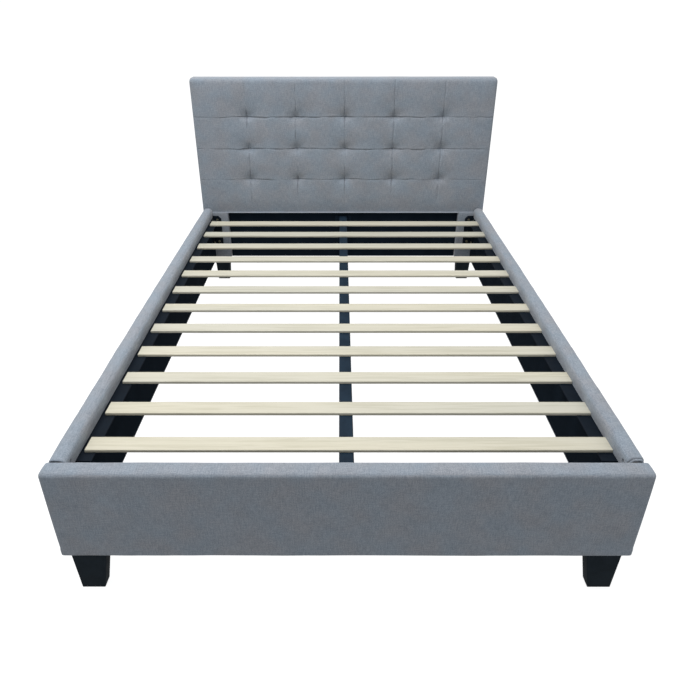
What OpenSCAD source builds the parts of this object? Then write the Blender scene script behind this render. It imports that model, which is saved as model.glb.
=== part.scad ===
// Upholstered platform bed with a tufted headboard, slatted deck and steel centre rail.
// Origin on the floor under the middle of the bed: +X to the side, +Y to the headboard, +Z up.

/* [Overall] */
// Width over the headboard and the footboard
bed_w = 1460; // [1300:1:1700]
// Length from the footboard's front face to the headboard's back face
bed_l = 2032; // [1990:1:2150]
// Height of the headboard's top edge
headboard_top = 1040; // [900:1:1300]
// Height of the underside of the rails, the footboard and the headboard's legs
clearance = 126; // [80:1:180]
// Height of the slats' upper face, where the mattress lies
deck_top = 366; // [320:1:380]

/* [Headboard] */
// Thickness of the headboard
headboard_t = 70; // [60:1:100]
// Height of the padded panel's lower edge
panel_bottom = 380; // [376:1:400]
// Thickness of the panel's foam
panel_foam_t = 30; // [20:1:36]
// Thickness of the panel's plywood sheet
panel_ply_t = 9; // [6:1:12]
// Width of each upholstered leg
leg_w = 127; // [100:1:150]
// Tufts across the panel
tuft_columns = 5; // [2:1:5]
// Tufts up the panel
tuft_rows = 3; // [2:1:4]
// Spacing of the tufts across the panel
tuft_pitch_x = 239; // [160:1:240]
// Spacing of the tufts up the panel
tuft_pitch_z = 153; // [120:1:160]
// Shift of the tufts to the right of the middle
tuft_shift = 8; // [-15:1:15]

/* [Rails and footboard] */
// Thickness of the footboard
footboard_t = 47; // [36:1:60]
// Height of the footboard's top edge
footboard_top = 399; // [385:1:420]
// Outer faces of the side rails, measured from the bed's middle
rail_out = 724; // [620:1:730]
// Thickness of a side rail with its padding
rail_t = 41; // [34:1:44]
// Height of the side rails' rounded top
rail_top = 408; // [400:1:420]
// Radius of the rails' padded top edges
rail_round = 15; // [8:1:15.5]
// Radius of the footboard's and headboard's padded edges
board_round = 10; // [4:1:14]
// Thickness of the rails' boards
rail_board_t = 20; // [15:1:22]
// Thickness of the footboard's board
foot_board_t = 30; // [18:1:30]

/* [Deck] */
// Number of slats, evenly spaced
slat_count = 12; // [8:1:12]
// Width of a slat
slat_w = 53; // [45:1:70]
// Thickness of a slat
slat_t = 9; // [8:1:12]
// Spacing of the slats
slat_pitch = 154; // [100:0.1:155]
// Gap between the loose slats' left ends and the rail
slat_gap_left = 12; // [1:1:16]
// Gap between the slats' right ends and the rail
slat_gap_right = 1; // [1:1:16]
// Shift of the row of slats towards the headboard
slat_shift = -3; // [-10:1:10]
// Width of the angle that carries the slats' ends
ledge_w = 40; // [30:1:50]
// Thickness of the steel angle
ledge_t = 2.5; // [2:0.5:4]
// Side of the square centre rail
centre_rail_w = 38; // [30:1:50]
// Wall of the centre rail
centre_rail_wall = 1.5; // [1.5:0.5:3]

/* [Feet] */
// Width of a foot's bottom face
foot_bottom_w = 61; // [50:1:75]
// Width of a footboard foot's top face
foot_top_w = 90; // [76:1:95]
// Depth of a footboard foot's top face
foot_top_d = 38; // [34:1:42]
// Depth of a footboard foot's bottom face
foot_bottom_d = 34; // [30:1:38]
// Distance of a centre leg from the bed's middle
centre_leg_y = 330; // [250:1:450]
// Length of stud that a levelling glide can screw in
glide_up = 6; // [4:1:8]

/* [Hidden] */
$fn = 48;
fabric_t = 2;          // upholstery fabric with its backing
lining_t = 1;          // non-woven lining
side = [-1, 1];        // left, right
half_w = bed_w / 2;
front_y = -bed_l / 2;                     // footboard's front face
rail_y0 = front_y + footboard_t;          // footboard's back face
back_y = bed_l / 2;
rail_y1 = back_y - headboard_t;           // headboard's front face
rail_in = rail_out - rail_t;              // rail's inner face
rail_round_in = rail_round - fabric_t;    // radius of the foam under the fabric
board_round_in = board_round - fabric_t;
slat_bottom = deck_top - slat_t;
fabric_hem = slat_bottom;                 // where the fabric gives way to lining inside the frame
slat_round = 2;

// Boards under the padding
board_bottom = clearance + fabric_t;
rail_board_x = rail_in + fabric_t;
rail_board_top = rail_top - rail_round;
foot_board_y = rail_y0 - fabric_t - foot_board_t;
foot_board_top = footboard_top - 10;
lining_x = rail_board_x - lining_t;       // lining's face inside the rails
lining_y = rail_y0 - lining_t;            // lining's face inside the footboard

// Headboard layers, from the front
panel_x = half_w - fabric_t;
panel_z0 = panel_bottom + fabric_t;
panel_z1 = headboard_top - fabric_t;
foam_y = rail_y1 + fabric_t;
ply_y = foam_y + panel_foam_t;
frame_y = ply_y + panel_ply_t;
frame_t = back_y - fabric_t - frame_y;
back_return = 20;                         // fabric turned in on the back
batten_h = 60;
post_w = leg_w - 2 * fabric_t;
post_x = panel_x - post_w;
leg_x = half_w - leg_w;
tuft_hole_r = 2;
tuft_washer_r = 11;
tuft_washer_t = 2;
cross_panel_t = 18;

// Steel angle under the slats' ends
ledge_drop = 40;                          // height of its upright flange
ledge_inset = 50;                         // clear of the corner brackets
ledge_y0 = rail_y0 + ledge_inset;
ledge_y1 = rail_y1 - ledge_inset;
screw_count = 6;
screw_r = 2;
screw_len = 16;
screw_head_r = 4;
screw_head_t = 2;
screw_z = slat_bottom - 24;
screw_step = (ledge_y1 - ledge_y0 - 120) / (screw_count - 1);
fit_gap = 0.05;                           // radial room of a screw or bolt in its hole

// Corner brackets between the rails and the boards
bracket_w = 45;
bracket_t = 3;
bracket_z0 = 190;
bracket_z1 = deck_top - 1;                // top of the flange on the board
bracket_side_z1 = fabric_hem - 3;         // top of the flange on the rail
bracket_cut = 14;                         // clipped corner at the top
bolt_z = [225, deck_top - 22];
bolt_r = 3;
bolt_len = 14;
bolt_head_r = 6.5;
bolt_head_t = 4;
bolt_in = 24;                             // bolt's distance from the corner

// Centre rail, its hangers and its legs
centre_top = slat_bottom;
centre_round = 4;
hanger_t = 2.5;
hanger_w = 84;
hanger_reach = 36;
hanger_gap = 0.5;
hanger_screw_x = 33;
hanger_drop = 8;                          // plate below the cradle
leg_plate_t = 3;
leg_plate_l = 76;
leg_r = 14;
leg_wall = 2;
leg_plug_t = 14;
stud_r = 4;
glide_r = 17;
glide_t = 10;
nut_af_r = 7.5;
nut_t = 6;
leg_screw_y = 28;

// Feet
foot_front_gap = 4;                       // foot set back from the footboard's face
foot_out = 703;                           // outer edge of the bottom face
foot_flare = 4;                           // outer edge's run from bottom to top
head_foot_out = 686;
head_foot_top = [76, 56];
head_foot_bottom = [61, 46];
foot_bolt_r = 4;
foot_bolt_up = 40;                        // length in the board
foot_bolt_down = 40;                      // length in the foot

fabric_grey = [0.44, 0.47, 0.50];
foam_cream = [0.93, 0.90, 0.78];
pine = [0.87, 0.84, 0.76];
ply_brown = [0.72, 0.58, 0.42];
lining_black = [0.07, 0.08, 0.10];
steel_black = [0.13, 0.17, 0.22];
zinc = [0.70, 0.66, 0.48];
plastic_black = [0.08, 0.09, 0.10];

function slat_y(i) = (rail_y0 + rail_y1) / 2 + slat_shift + ((slat_count - 1) / 2 - i) * slat_pitch;
function two_digits(n) = str(n < 10 ? "0" : "", n);
function slat_name(i) = str("slat_", two_digits(i + 1));
function tuft_x(i) = tuft_shift + (i - (tuft_columns - 1) / 2) * tuft_pitch_x;
function tuft_z(k) = (panel_bottom + headboard_top) / 2 + (k - (tuft_rows - 1) / 2) * tuft_pitch_z;
function ledge_screw_y(k) = ledge_y0 + 60 + k * screw_step;

// ---- shapes used by several parts ----

// Box from one corner to the other
module block(low, high) {
    translate(low) cube(high - low);
}

// Extrudes a section drawn in X and Z along Y
module along_y(y0, y1) {
    translate([0, y1, 0]) rotate([90, 0, 0]) linear_extrude(y1 - y0) children();
}

// Extrudes a section drawn in Y and Z along X
module along_x(x0, x1) {
    translate([x0, 0, 0]) rotate([90, 0, 90]) linear_extrude(x1 - x0) children();
}

// Rectangle whose two upper corners are rounded
module padded_top(low, high, r) {
    translate(low) square([high[0] - low[0], high[1] - low[1] - r]);
    translate([low[0] + r, low[1]]) square([high[0] - low[0] - 2 * r, high[1] - low[1]]);
    for (x = [low[0] + r, high[0] - r]) translate([x, high[1] - r]) circle(r);
}

// Rectangle with all corners rounded
module rounded_rect(low, high, r) {
    translate([low[0], low[1] + r]) square([high[0] - low[0], high[1] - low[1] - 2 * r]);
    translate([low[0] + r, low[1]]) square([high[0] - low[0] - 2 * r, high[1] - low[1]]);
    for (x = [low[0] + r, high[0] - r], z = [low[1] + r, high[1] - r])
        translate([x, z]) circle(r);
}

// Right-hand part, or its mirror image on the left
module on_side(s) {
    mirror([s < 0 ? 1 : 0, 0, 0]) children();
}

// Cylinder along X or Y, from a point
module rod_x(point, r, l) {
    translate(point) rotate([0, 90, 0]) cylinder(r = r, h = l);
}

module rod_y(point, r, l) {
    translate(point) rotate([-90, 0, 0]) cylinder(r = r, h = l);
}

// Hexagon bolt head or nut on the Z axis
module hex_z(r, h) {
    cylinder(r = r, h = h, $fn = 6);
}

// Tapered foot: bottom face and top face as [x0, x1, y0, y1]
module tapered_foot(bottom, top, h) {
    polyhedron(
        points = [
            [bottom[0], bottom[2], 0], [bottom[1], bottom[2], 0],
            [bottom[1], bottom[3], 0], [bottom[0], bottom[3], 0],
            [top[0], top[2], h], [top[1], top[2], h],
            [top[1], top[3], h], [top[0], top[3], h]
        ],
        faces = [
            [0, 1, 2, 3], [7, 6, 5, 4], [0, 4, 5, 1],
            [1, 5, 6, 2], [2, 6, 7, 3], [3, 7, 4, 0]
        ]
    );
}

// ---- headboard ----

module at_tufts() {
    for (i = [0:tuft_columns - 1], k = [0:tuft_rows - 1])
        translate([tuft_x(i), 0, tuft_z(k)]) children();
}

module headboard_cover() {
    color(fabric_grey) difference() {
        along_x(-half_w, half_w)
            padded_top([rail_y1, panel_bottom], [back_y, headboard_top], board_round);
        along_x(-panel_x, panel_x)
            padded_top([foam_y, panel_z0], [back_y - fabric_t, panel_z1], board_round_in);
        block([-panel_x + back_return, back_y - fabric_t - 1, panel_z0 + back_return],
              [panel_x - back_return, back_y + 1, panel_z1 - back_return]);
        for (s = side) on_side(s)
            block([post_x, frame_y, panel_bottom - 1], [panel_x, back_y - fabric_t, panel_z0 + 1]);
    }
}

module headboard_foam() {
    color(foam_cream) difference() {
        along_x(-panel_x, panel_x) intersection() {
            padded_top([foam_y, panel_z0], [back_y - fabric_t, panel_z1], board_round_in);
            translate([foam_y, panel_z0]) square([panel_foam_t, panel_z1 - panel_z0]);
        }
        at_tufts() rod_y([0, foam_y - 1, 0], tuft_hole_r, panel_foam_t + 2);
    }
}

module headboard_board() {
    color(ply_brown) difference() {
        block([-panel_x, ply_y, panel_z0], [panel_x, frame_y, panel_z1]);
        at_tufts() rod_y([0, ply_y - 1, 0], tuft_hole_r, panel_ply_t + 2);
    }
}

module batten(z0) {
    color(pine) block([-post_x, frame_y, z0], [post_x, frame_y + frame_t, z0 + batten_h]);
}

module headboard_top_batten() {
    batten(panel_z1 - board_round_in - batten_h);
}

module headboard_bottom_batten() {
    batten(panel_z0);
}

module headboard_post(s) {
    color(pine) on_side(s)
        block([post_x, frame_y, board_bottom],
              [panel_x, frame_y + frame_t, panel_z1 - board_round_in]);
}

module headboard_back_lining() {
    color(lining_black)
        block([-panel_x + back_return, back_y - fabric_t, panel_z0 + back_return],
              [panel_x - back_return, back_y - fabric_t + lining_t, panel_z1 - back_return]);
}

// Board between the legs, covered in lining
module headboard_cross_panel() {
    color(lining_black) difference() {
        block([-leg_x, ply_y, clearance], [leg_x, ply_y + cross_panel_t, panel_bottom]);
        for (x = [-hanger_screw_x, hanger_screw_x])
            rod_y([x, ply_y - 1, hanger_screw_z()], screw_r + fit_gap, screw_len);
    }
}

// A washer behind the plywood holds each tuft's twine, which runs through the foam to the cover
module tuft_ties() {
    color(zinc) at_tufts() {
        rod_y([0, frame_y, 0], tuft_washer_r, tuft_washer_t);
        rod_y([0, foam_y, 0], tuft_hole_r - fit_gap, panel_foam_t + panel_ply_t);
    }
}

module headboard_leg_block(s) {
    color(pine) on_side(s) difference() {
        block([post_x, foam_y, board_bottom], [panel_x, frame_y, panel_bottom]);
        for (z = bolt_z)
            rod_y([rail_in - bolt_in, foam_y - 1, z], bolt_r + fit_gap, bolt_len + 1);
        translate([foot_centre(head_foot_out, head_foot_bottom[0]), head_foot_y(), 0])
            cylinder(r = foot_bolt_r + fit_gap, h = clearance + foot_bolt_up);
    }
}

module headboard_leg_cover(s) {
    color(fabric_grey) on_side(s) difference() {
        block([leg_x, rail_y1, clearance], [half_w, back_y, panel_bottom]);
        block([post_x, foam_y, board_bottom], [panel_x, back_y - fabric_t, panel_bottom + 1]);
        for (z = bolt_z)
            rod_y([rail_in - bolt_in, rail_y1 - 1, z], bolt_r + fit_gap, fabric_t + 2);
        translate([foot_centre(head_foot_out, head_foot_bottom[0]), head_foot_y(), clearance - 1])
            cylinder(r = foot_bolt_r + fit_gap, h = fabric_t + 2);
    }
}

function foot_centre(out, w) = out - w / 2;
function head_foot_y() = rail_y1 + 34;

module headboard_foot(s) {
    x = foot_centre(head_foot_out, head_foot_bottom[0]);
    y = head_foot_y();
    color(plastic_black) on_side(s) difference() {
        tapered_foot(
            [x - head_foot_bottom[0] / 2, x + head_foot_bottom[0] / 2,
             y - head_foot_bottom[1] / 2, y + head_foot_bottom[1] / 2],
            [x - head_foot_top[0] / 2, x + head_foot_top[0] / 2,
             y - head_foot_top[1] / 2, y + head_foot_top[1] / 2],
            clearance
        );
        translate([x, y, clearance - foot_bolt_down])
            cylinder(r = foot_bolt_r + fit_gap, h = foot_bolt_down + 1);
    }
}

// ---- footboard ----

module footboard_cover() {
    color(fabric_grey) difference() {
        along_x(-half_w, half_w)
            padded_top([front_y, clearance], [rail_y0, footboard_top], board_round);
        along_x(-panel_x, panel_x)
            padded_top([front_y + fabric_t, board_bottom],
                       [rail_y0 - fabric_t, footboard_top - fabric_t], board_round_in);
        block([-rail_in, rail_y0 - fabric_t - 1, board_bottom], [rail_in, rail_y0 + 1, fabric_hem]);
        for (s = side) footboard_bolt_holes(s);
        foot_bolt_holes();
    }
}

module footboard_foam() {
    color(foam_cream) difference() {
        along_x(-panel_x, panel_x)
            padded_top([front_y + fabric_t, board_bottom],
                       [rail_y0 - fabric_t, footboard_top - fabric_t], board_round_in);
        block([-panel_x - 1, foot_board_y, board_bottom - 1],
              [panel_x + 1, rail_y0, foot_board_top]);
    }
}

module footboard_board() {
    color(ply_brown) difference() {
        block([-panel_x, foot_board_y, board_bottom],
              [panel_x, foot_board_y + foot_board_t, foot_board_top]);
        for (s = side) footboard_bolt_holes(s);
        foot_bolt_holes();
        for (x = [-hanger_screw_x, hanger_screw_x])
            rod_y([x, rail_y0 - screw_len, hanger_screw_z()], screw_r + fit_gap, screw_len + 1);
    }
}

module footboard_lining() {
    color(lining_black) difference() {
        block([-rail_in, lining_y - lining_t, board_bottom], [rail_in, lining_y, fabric_hem]);
        for (s = side) footboard_bolt_holes(s);
        for (x = [-hanger_screw_x, hanger_screw_x])
            rod_y([x, rail_y0 - screw_len, hanger_screw_z()], screw_r + fit_gap, screw_len + 1);
    }
}

function front_foot_x() = foot_out - foot_bottom_w / 2;
function front_foot_y() = front_y + foot_front_gap + foot_top_d / 2;
function hanger_screw_z() = centre_top - centre_rail_w / 2;

module footboard_bolt_holes(s) {
    for (z = bolt_z)
        rod_y([s * (rail_in - bolt_in), rail_y0 - bolt_len, z], bolt_r + fit_gap, bolt_len + 1);
}

module foot_bolt_holes() {
    for (s = side)
        translate([s * front_foot_x(), front_foot_y(), clearance - 1])
            cylinder(r = foot_bolt_r + fit_gap, h = foot_bolt_up + 1);
}

module footboard_foot(s) {
    bottom_y = front_foot_y();
    top_x1 = foot_out + foot_flare;
    color(plastic_black) on_side(s) difference() {
        tapered_foot(
            [foot_out - foot_bottom_w, foot_out,
             bottom_y - foot_bottom_d / 2, bottom_y + foot_bottom_d / 2],
            [top_x1 - foot_top_w, top_x1, bottom_y - foot_top_d / 2, bottom_y + foot_top_d / 2],
            clearance
        );
        translate([front_foot_x(), bottom_y, clearance - foot_bolt_down])
            cylinder(r = foot_bolt_r + fit_gap, h = foot_bolt_down + 1);
    }
}

// ---- side rails ----

module rail_bolt_holes(x0, x1) {
    for (y = [rail_y0 + bolt_in, rail_y1 - bolt_in], z = bolt_z)
        rod_x([x0, y, z], bolt_r + fit_gap, x1 - x0);
}

module rail_cover(s) {
    color(fabric_grey) on_side(s) difference() {
        along_y(rail_y0, rail_y1) difference() {
            padded_top([rail_in, clearance], [rail_out, rail_top], rail_round);
            padded_top([rail_board_x, board_bottom], [rail_out - fabric_t, rail_top - fabric_t],
                       rail_round_in);
            translate([rail_in - 1, board_bottom]) square([fabric_t + 1, fabric_hem - board_bottom]);
        }
    }
}

module rail_foam(s) {
    color(foam_cream) on_side(s) along_y(rail_y0, rail_y1) difference() {
        padded_top([rail_board_x, board_bottom], [rail_out - fabric_t, rail_top - fabric_t],
                   rail_round_in);
        translate([rail_board_x - 1, board_bottom - 1])
            square([rail_board_t + 1, rail_board_top - board_bottom + 1]);
    }
}

module rail_board(s) {
    color(ply_brown) on_side(s) difference() {
        block([rail_board_x, rail_y0, board_bottom],
              [rail_board_x + rail_board_t, rail_y1, rail_board_top]);
        rail_bolt_holes(rail_board_x - 1, lining_x + bolt_len);
        for (k = [0:screw_count - 1])
            rod_x([rail_board_x - 1, ledge_screw_y(k), screw_z], screw_r + fit_gap, screw_len + 1);
    }
}

module rail_lining(s) {
    color(lining_black) on_side(s) difference() {
        block([lining_x, rail_y0, board_bottom], [rail_board_x, rail_y1, fabric_hem]);
        rail_bolt_holes(lining_x - 1, rail_board_x + 1);
        for (k = [0:screw_count - 1])
            rod_x([lining_x - 1, ledge_screw_y(k), screw_z], screw_r + fit_gap, lining_t + 2);
    }
}

// Steel angle: one flange screwed to the rail, the other under the slats' ends
module slat_ledge(s) {
    color(steel_black) on_side(s) difference() {
        along_y(ledge_y0, ledge_y1) {
            translate([lining_x - ledge_w, slat_bottom - ledge_t]) square([ledge_w, ledge_t]);
            translate([lining_x - ledge_t, slat_bottom - ledge_drop]) square([ledge_t, ledge_drop]);
        }
        for (k = [0:screw_count - 1])
            rod_x([lining_x - ledge_t - 1, ledge_screw_y(k), screw_z],
                  screw_r + fit_gap, ledge_t + 2);
    }
}

module ledge_screws() {
    color(steel_black) for (s = side, k = [0:screw_count - 1]) on_side(s) {
        rod_x([lining_x - ledge_t, ledge_screw_y(k), screw_z], screw_r, screw_len);
        rod_x([lining_x - ledge_t - screw_head_t, ledge_screw_y(k), screw_z],
              screw_head_r, screw_head_t);
    }
}

// ---- corner brackets ----

// Angle in the corner at y, with its second flange towards +Y or -Y
module bracket(s, y, way) {
    color(steel_black) on_side(s) translate([0, y, 0]) mirror([0, way < 0 ? 1 : 0, 0]) difference() {
        union() {
            along_y(0, bracket_t) polygon([
                [lining_x - bracket_w, bracket_z0], [rail_in, bracket_z0], [rail_in, bracket_z1],
                [lining_x - bracket_w + bracket_cut, bracket_z1],
                [lining_x - bracket_w, bracket_z1 - bracket_cut]
            ]);
            block([lining_x - bracket_t, 0, bracket_z0], [lining_x, bracket_w, bracket_side_z1]);
        }
        for (z = bolt_z) {
            rod_y([rail_in - bolt_in, -1, z], bolt_r + fit_gap, bracket_t + 2);
            rod_x([lining_x - bracket_t - 1, bolt_in, z], bolt_r + fit_gap, bracket_t + 2);
        }
    }
}

// Bolt along +Y with its head outermost
module bolt_y(l) {
    rod_y([0, 0, 0], bolt_r, l);
    rotate([90, 0, 0]) hex_z(bolt_head_r, bolt_head_t);
}

module bracket_bolts() {
    color(zinc) for (s = side, z = bolt_z) on_side(s) {
        translate([rail_in - bolt_in, rail_y1 - bracket_t, z]) bolt_y(bolt_len);
        translate([rail_in - bolt_in, rail_y0 + bracket_t, z]) mirror([0, 1, 0]) bolt_y(bolt_len);
        for (y = [rail_y0 + bolt_in, rail_y1 - bolt_in])
            translate([lining_x - bracket_t, y, z]) rotate([0, 0, -90]) bolt_y(bolt_len);
    }
}

module foot_bolts() {
    color(zinc) for (s = side) {
        translate([s * front_foot_x(), front_foot_y(), clearance - foot_bolt_down])
            cylinder(r = foot_bolt_r, h = foot_bolt_down + foot_bolt_up);
        translate([s * foot_centre(head_foot_out, head_foot_bottom[0]), head_foot_y(),
                   clearance - foot_bolt_down])
            cylinder(r = foot_bolt_r, h = foot_bolt_down + foot_bolt_up);
    }
}

// ---- centre support ----

module centre_rail() {
    w = centre_rail_w / 2;
    color(steel_black) difference() {
        along_y(rail_y0 + hanger_t, head_hanger_face() - hanger_t) difference() {
            rounded_rect([-w, centre_top - centre_rail_w], [w, centre_top], centre_round);
            rounded_rect([-w + centre_rail_wall, centre_top - centre_rail_w + centre_rail_wall],
                         [w - centre_rail_wall, centre_top - centre_rail_wall],
                         centre_round - centre_rail_wall);
        }
        for (s = side) leg_screw_holes(s * centre_leg_y);
    }
}

function head_hanger_face() = ply_y;

module leg_screw_holes(y) {
    for (d = [-leg_screw_y, leg_screw_y])
        translate([0, y + d, centre_top - centre_rail_w - leg_plate_t - 1])
            cylinder(r = screw_r + fit_gap, h = leg_plate_t + centre_rail_wall + 2);
}

// Plate on the board with a cradle that the centre rail's end drops into
module hanger(y, way) {
    w = centre_rail_w / 2 + hanger_gap;
    low = centre_top - centre_rail_w;
    color(steel_black) translate([0, y, 0]) mirror([0, way < 0 ? 1 : 0, 0]) difference() {
        union() {
            block([-hanger_w / 2, 0, low - hanger_drop], [hanger_w / 2, hanger_t, centre_top - 2]);
            block([-w - hanger_t, 0, low - hanger_t], [-w, hanger_reach, centre_top - 8]);
            block([w, 0, low - hanger_t], [w + hanger_t, hanger_reach, centre_top - 8]);
            block([-w, 0, low - hanger_t], [w, hanger_reach, low]);
        }
        for (x = [-hanger_screw_x, hanger_screw_x])
            rod_y([x, -1, hanger_screw_z()], screw_r + fit_gap, hanger_t + 2);
    }
}

module hanger_screws() {
    color(steel_black) for (x = [-hanger_screw_x, hanger_screw_x]) {
        translate([x, lining_y + hanger_t, hanger_screw_z()]) mirror([0, 1, 0]) pan_screw_y();
        translate([x, head_hanger_face() - hanger_t, hanger_screw_z()]) pan_screw_y();
    }
}

// Pan-head screw along +Y
module pan_screw_y() {
    rod_y([0, 0, 0], screw_r, screw_len);
    rod_y([0, -screw_head_t, 0], screw_head_r, screw_head_t);
}

// Round leg with a plate under the rail and a threaded plug at its foot
module centre_leg(y) {
    top = centre_top - centre_rail_w;
    bottom = glide_t + nut_t + glide_up;
    color(steel_black) translate([0, y, 0]) difference() {
        union() {
            block([-centre_rail_w / 2 + 1, -leg_plate_l / 2, top - leg_plate_t],
                  [centre_rail_w / 2 - 1, leg_plate_l / 2, top]);
            translate([0, 0, bottom]) cylinder(r = leg_r, h = top - leg_plate_t - bottom);
        }
        translate([0, 0, bottom + leg_plug_t])
            cylinder(r = leg_r - leg_wall, h = top - leg_plate_t - bottom - leg_plug_t);
        translate([0, 0, bottom - 1]) cylinder(r = stud_r + fit_gap, h = leg_plug_t + 2);
        leg_screw_holes(0);
    }
}

module leg_screws() {
    color(steel_black) for (s = side, d = [-leg_screw_y, leg_screw_y])
        translate([0, s * centre_leg_y + d, centre_top - centre_rail_w - leg_plate_t]) {
            cylinder(r = screw_r, h = leg_plate_t + 8);
            translate([0, 0, -screw_head_t]) cylinder(r = screw_head_r, h = screw_head_t);
        }
}

// Glide with its stud and nut: screws up into the leg
module levelling_glide(y) {
    color(plastic_black) translate([0, y, 0]) {
        cylinder(r1 = glide_r, r2 = glide_r - 3, h = glide_t);
        cylinder(r = stud_r, h = glide_t + nut_t + glide_up + leg_plug_t + 4);
        translate([0, 0, glide_t]) hex_z(nut_af_r, nut_t);
    }
}

// ---- slats ----

module slat(i) {
    color(pine) along_x(slat_gap_left - rail_in, rail_in - slat_gap_right)
        rounded_rect([slat_y(i) - slat_w / 2, slat_bottom], [slat_y(i) + slat_w / 2, deck_top],
                     slat_round);
}

headboard_cover();
headboard_foam();
headboard_board();
headboard_top_batten();
headboard_bottom_batten();
headboard_post(-1);  // headboard_post_left
headboard_post(1);  // headboard_post_right
headboard_back_lining();
headboard_cross_panel();
tuft_ties();
headboard_leg_block(-1);  // headboard_leg_block_left
headboard_leg_block(1);  // headboard_leg_block_right
headboard_leg_cover(-1);  // headboard_leg_cover_left
headboard_leg_cover(1);  // headboard_leg_cover_right
headboard_foot(-1);  // headboard_foot_left
headboard_foot(1);  // headboard_foot_right
footboard_cover();
footboard_foam();
footboard_board();
footboard_lining();
footboard_foot(-1);  // footboard_foot_left
footboard_foot(1);  // footboard_foot_right
rail_cover(-1);  // rail_cover_left
rail_cover(1);  // rail_cover_right
rail_foam(-1);  // rail_foam_left
rail_foam(1);  // rail_foam_right
rail_board(-1);  // rail_board_left
rail_board(1);  // rail_board_right
rail_lining(-1);  // rail_lining_left
rail_lining(1);  // rail_lining_right
slat_ledge(-1);  // slat_ledge_left
slat_ledge(1);  // slat_ledge_right
ledge_screws();
bracket(-1, rail_y1, -1);  // bracket_head_left
bracket(1, rail_y1, -1);  // bracket_head_right
bracket(-1, rail_y0, 1);  // bracket_foot_left
bracket(1, rail_y0, 1);  // bracket_foot_right
bracket_bolts();
foot_bolts();
centre_rail();
hanger(head_hanger_face(), -1);  // centre_hanger_head
hanger(lining_y, 1);  // centre_hanger_foot
hanger_screws();
centre_leg(centre_leg_y);  // centre_leg_head
centre_leg(-centre_leg_y);  // centre_leg_foot
leg_screws();
levelling_glide(centre_leg_y);  // levelling_glide_head
levelling_glide(-centre_leg_y);  // levelling_glide_foot
for (i = [0:slat_count - 1])
    slat(i);
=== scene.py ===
"""Upholstered headboard bed: its looks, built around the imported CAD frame. Metres, +Z up."""

import math

import bmesh
import bpy
import numpy as np
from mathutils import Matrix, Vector, noise


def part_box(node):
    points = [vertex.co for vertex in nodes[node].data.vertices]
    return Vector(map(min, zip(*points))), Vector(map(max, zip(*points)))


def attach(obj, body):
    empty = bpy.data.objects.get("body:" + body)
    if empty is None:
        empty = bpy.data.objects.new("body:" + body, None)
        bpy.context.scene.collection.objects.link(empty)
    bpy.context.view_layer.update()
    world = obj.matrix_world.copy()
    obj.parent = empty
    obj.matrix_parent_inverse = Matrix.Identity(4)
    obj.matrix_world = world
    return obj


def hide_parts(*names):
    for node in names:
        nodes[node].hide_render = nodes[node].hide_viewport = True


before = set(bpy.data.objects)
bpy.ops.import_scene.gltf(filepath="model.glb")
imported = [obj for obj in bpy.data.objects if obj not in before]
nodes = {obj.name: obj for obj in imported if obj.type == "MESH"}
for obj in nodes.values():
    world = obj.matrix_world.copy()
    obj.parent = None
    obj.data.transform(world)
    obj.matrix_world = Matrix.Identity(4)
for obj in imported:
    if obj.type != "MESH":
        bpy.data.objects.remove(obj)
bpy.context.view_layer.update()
MM = 0.001


# ---------------------------------------------------------------- materials


class Graph:
    """A node material built by short calls; base is the Principled shader."""

    def __init__(self, name, **sockets):
        self.material = bpy.data.materials.new(name)
        self.material.use_nodes = True
        self.tree = self.material.node_tree
        self.base = self.tree.nodes["Principled BSDF"]
        for key, value in sockets.items():
            self.base.inputs[key.replace("_", " ")].default_value = value

    def node(self, kind, inputs=(), **props):
        made = self.tree.nodes.new(kind)
        for key, value in props.items():
            setattr(made, key, value)
        for key, value in dict(inputs).items():
            self.feed(made.inputs[key], value)
        return made

    def feed(self, socket, value):
        if isinstance(value, bpy.types.NodeSocket):
            self.tree.links.new(value, socket)
        elif isinstance(value, bpy.types.Node):
            self.tree.links.new(value.outputs[0], socket)
        else:
            socket.default_value = value

    def math(self, operation, *values, clamp=False):
        return self.node("ShaderNodeMath", enumerate(values), operation=operation, use_clamp=clamp)

    def scaled(self, vector, scale):
        return self.node("ShaderNodeVectorMath", {0: vector, 1: scale}, operation="MULTIPLY")

    def noise(self, vector, scale, detail=2.0, rough=0.5, distortion=0.0):
        values = {"Vector": vector, "Scale": scale, "Detail": detail, "Roughness": rough,
                  "Distortion": distortion}
        return self.node("ShaderNodeTexNoise", values)

    def mix(self, factor, a, b, mode="MIX"):
        values = {"Factor": factor, 6: a, 7: b}
        made = self.node("ShaderNodeMix", data_type="RGBA", blend_type=mode)
        for key, value in values.items():
            self.feed(made.inputs[key], value)
        return made.outputs[2]

    def spread(self, value, low, high, new_low=0.0, new_high=1.0):
        values = {0: value, 1: low, 2: high, 3: new_low, 4: new_high}
        return self.node("ShaderNodeMapRange", values)

    def bump(self, height, distance, strength=1.0, normal=None):
        made = self.node("ShaderNodeBump", {"Height": height, "Distance": distance, "Strength": strength})
        if normal is not None:
            self.feed(made.inputs["Normal"], normal)
        return made

    def place(self):
        return self.node("ShaderNodeTexCoord").outputs["Object"]

    def weave(self):
        return self.node("ShaderNodeUVMap", uv_map="weave").outputs[0]

    def finish(self, **links):
        for key, value in links.items():
            self.feed(self.base.inputs[key.replace("_", " ")], value)
        return self.material


def rgb(r, g, b):
    """A linear colour with full opacity."""
    return (r, g, b, 1.0)


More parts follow.
